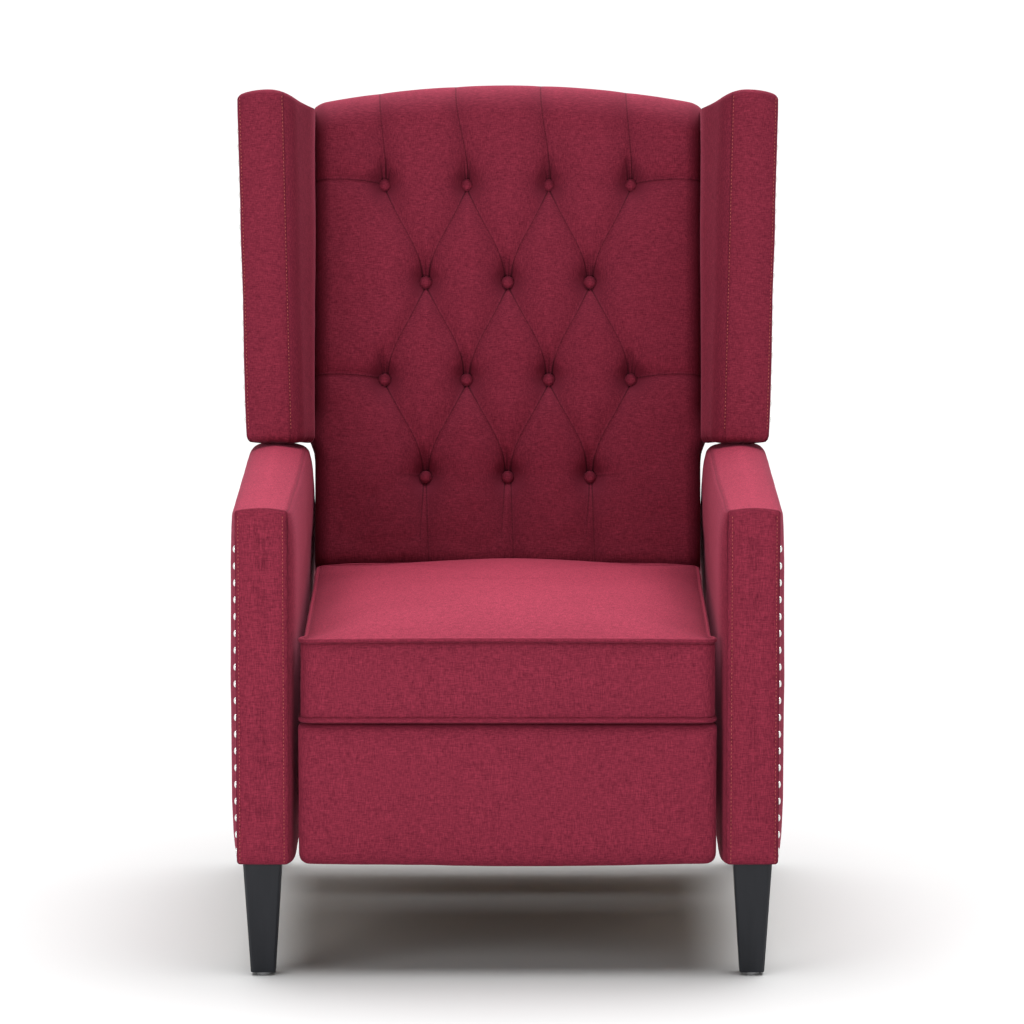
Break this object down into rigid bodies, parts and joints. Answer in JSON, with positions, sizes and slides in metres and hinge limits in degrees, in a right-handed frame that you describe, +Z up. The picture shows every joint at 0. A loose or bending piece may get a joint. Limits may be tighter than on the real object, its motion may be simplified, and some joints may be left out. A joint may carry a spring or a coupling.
{
  "type": "recliner",
  "caption": "Push-back recliner with a deep-buttoned wing back, padded arms with nail trim, box seat cushion, folding footrest on steel links and tapered wooden legs.",
  "frame": {"origin": "on the floor, below the middle of the chair's bounding box, between its four legs", "axes": "+Z up, +Y to the rear of the chair, +X to the sitter's left, which is the viewer's right from the front"},
  "size_m": [0.6926, 0.8086, 1.0278],
  "materials": {
    "fabric": "heathered linen weave",
    "timber": "planed softwood",
    "leg_wood": "dark espresso satin lacquer",
    "glide": "matte",
    "nail_metal": "polished nickel",
    "webbing": "woven elastic webbing",
    "pin_steel": "zinc plated",
    "mechanism_steel": "black satin"
  },
  "bodies": {
    "base": {"left_arm_frame": "timber", "right_arm_frame": "timber", "left_arm_cover": "fabric", "right_arm_cover": "fabric", "left_arm_nails": "nail_metal", "right_arm_nails": "nail_metal", "front_left_leg": "leg_wood", "front_right_leg": "leg_wood", "rear_left_leg": "leg_wood", "rear_right_leg": "leg_wood", "leg_glides": "glide", "leg_bolts": "pin_steel", "front_stretcher": "timber", "rear_stretcher": "timber", "rear_apron": "fabric", "left_base_rail": "mechanism_steel", "right_base_rail": "mechanism_steel", "base_pins": "pin_steel"},
    "front_swing": {"front_swing_links": "mechanism_steel"},
    "rear_swing": {"rear_swing_links": "mechanism_steel"},
    "seat": {"left_seat_rail": "timber", "right_seat_rail": "timber", "seat_front_rail": "timber", "seat_rear_rail": "timber", "seat_webbing": "webbing", "left_seat_plate": "mechanism_steel", "right_seat_plate": "mechanism_steel", "seat_pins": "pin_steel", "seat_cushion": "fabric"},
    "back": {"left_back_post": "timber", "right_back_post": "timber", "back_wing_rail": "timber", "back_top_rail": "timber", "back_bottom_rail": "timber", "back_webbing": "webbing", "back_cushion": "fabric", "tuft_buttons": "fabric", "left_wing": "fabric", "right_wing": "fabric", "left_wing_frame": "timber", "right_wing_frame": "timber", "left_wing_nails": "nail_metal", "right_wing_nails": "nail_metal", "outside_back": "fabric", "left_back_bracket": "mechanism_steel", "right_back_bracket": "mechanism_steel"},
    "front_link": {"ottoman_front_links": "mechanism_steel", "front_link_pins": "pin_steel"},
    "inner_link": {"ottoman_inner_links": "mechanism_steel"},
    "outer_link": {"ottoman_outer_links": "mechanism_steel", "outer_link_pins": "pin_steel"},
    "rear_link": {"ottoman_rear_links": "mechanism_steel"},
    "footrest": {"footrest_board": "timber", "footrest_pad": "fabric", "footrest_brackets": "mechanism_steel", "footrest_pins": "pin_steel"}
  },
  "joints": [
    {"name": "seat_swing", "type": "hinge", "parent": "base", "child": "front_swing", "pos_m": [0, -0.11857, 0.18484], "axis": [1, 0, 0], "range_deg": [0, 50]},
    {"name": "rear_swing_pivot", "type": "hinge", "parent": "base", "child": "rear_swing", "pos_m": [0, -0.02057, 0.18484], "axis": [1, 0, 0], "range_deg": [-0.1, 50.1]},
    {"name": "seat_level", "type": "hinge", "parent": "front_swing", "child": "seat", "pos_m": [0, -0.0742, 0.28], "axis": [1, 0, 0], "range_deg": [-50.1, 0.1]},
    {"name": "back_recline", "type": "hinge", "parent": "seat", "child": "back", "pos_m": [0, 0.1958, 0.33], "axis": [-1, 0, 0], "range_deg": [-0.1, 32.1]},
    {"name": "footrest_fold", "type": "hinge", "parent": "seat", "child": "front_link", "pos_m": [0, -0.2594, 0.296], "axis": [-1, 0, 0], "range_deg": [0, 96.8]},
    {"name": "inner_link_pivot", "type": "hinge", "parent": "front_link", "child": "inner_link", "pos_m": [0, -0.165, 0.1548], "axis": [1, 0, 0], "range_deg": [-0.1, 92.51]},
    {"name": "outer_link_pivot", "type": "hinge", "parent": "front_link", "child": "outer_link", "pos_m": [0, -0.1854, 0.1853], "axis": [1, 0, 0], "range_deg": [-0.1, 93.72]},
    {"name": "rear_link_pivot", "type": "hinge", "parent": "seat", "child": "rear_link", "pos_m": [0, -0.2273, 0.2759], "axis": [-1, 0, 0], "range_deg": [-0.1, 96.54]},
    {"name": "footrest_tilt", "type": "hinge", "parent": "inner_link", "child": "footrest", "pos_m": [0, -0.3408, 0.2175], "axis": [-1, 0, 0], "range_deg": [-0.1, 75.71]}
  ],
  "couplings": [
    {"joint": "rear_swing_pivot", "follows": "seat_swing", "ratio": 1},
    {"joint": "seat_level", "follows": "seat_swing", "ratio": -1},
    {"joint": "back_recline", "follows": "seat_swing", "ratio": 0.64},
    {"joint": "inner_link_pivot", "follows": "footrest_fold", "ratio": 0.95517},
    {"joint": "outer_link_pivot", "follows": "footrest_fold", "ratio": 0.96766},
    {"joint": "rear_link_pivot", "follows": "footrest_fold", "ratio": 0.9968},
    {"joint": "footrest_tilt", "follows": "footrest_fold", "ratio": 0.78161}
  ]
}
